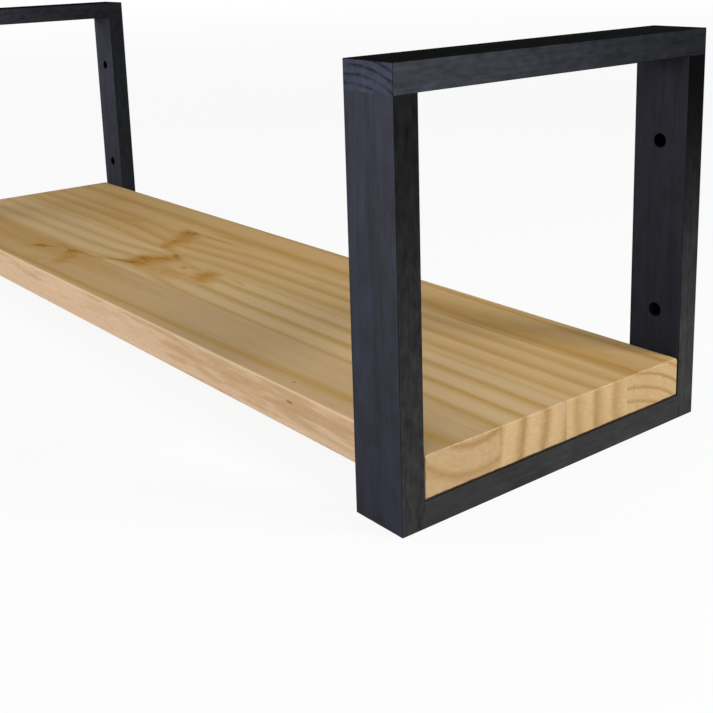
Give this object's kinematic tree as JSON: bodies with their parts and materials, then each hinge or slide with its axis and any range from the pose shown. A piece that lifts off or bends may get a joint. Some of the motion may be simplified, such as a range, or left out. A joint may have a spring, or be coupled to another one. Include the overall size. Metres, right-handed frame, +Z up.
{
  "type": "wall shelf",
  "caption": "Wall shelf with a thick glued pine board held in two open rectangular frames of black wooden battens that screw to the wall through their back posts.",
  "frame": {"origin": "on the wall plane, at the centre of the four wall screw holes", "axes": "+X along the shelf to the right as seen from the room, +Y into the wall, +Z up"},
  "size_m": [0.9, 0.28, 0.28],
  "materials": {
    "pine_board": "clear satin oil on planed pine",
    "black_wood": "thin matt black stain on pine battens",
    "beech_dowel": "bare turned beech",
    "screw_steel": "zinc plated"
  },
  "bodies": {
    "root": {"board_strip_1": "pine_board", "board_strip_2": "pine_board", "board_strip_3": "pine_board", "board_strip_4": "pine_board", "left_front_post": "black_wood", "left_back_post": "black_wood", "left_top_rail": "black_wood", "left_bottom_rail": "black_wood", "right_front_post": "black_wood", "right_back_post": "black_wood", "right_top_rail": "black_wood", "right_bottom_rail": "black_wood", "left_top_front_dowels": "beech_dowel", "left_top_back_dowels": "beech_dowel", "left_bottom_front_dowels": "beech_dowel", "left_bottom_back_dowels": "beech_dowel", "right_top_front_dowels": "beech_dowel", "right_top_back_dowels": "beech_dowel", "right_bottom_front_dowels": "beech_dowel", "right_bottom_back_dowels": "beech_dowel", "left_board_screws": "screw_steel", "right_board_screws": "screw_steel"}
  },
  "joints": []
}
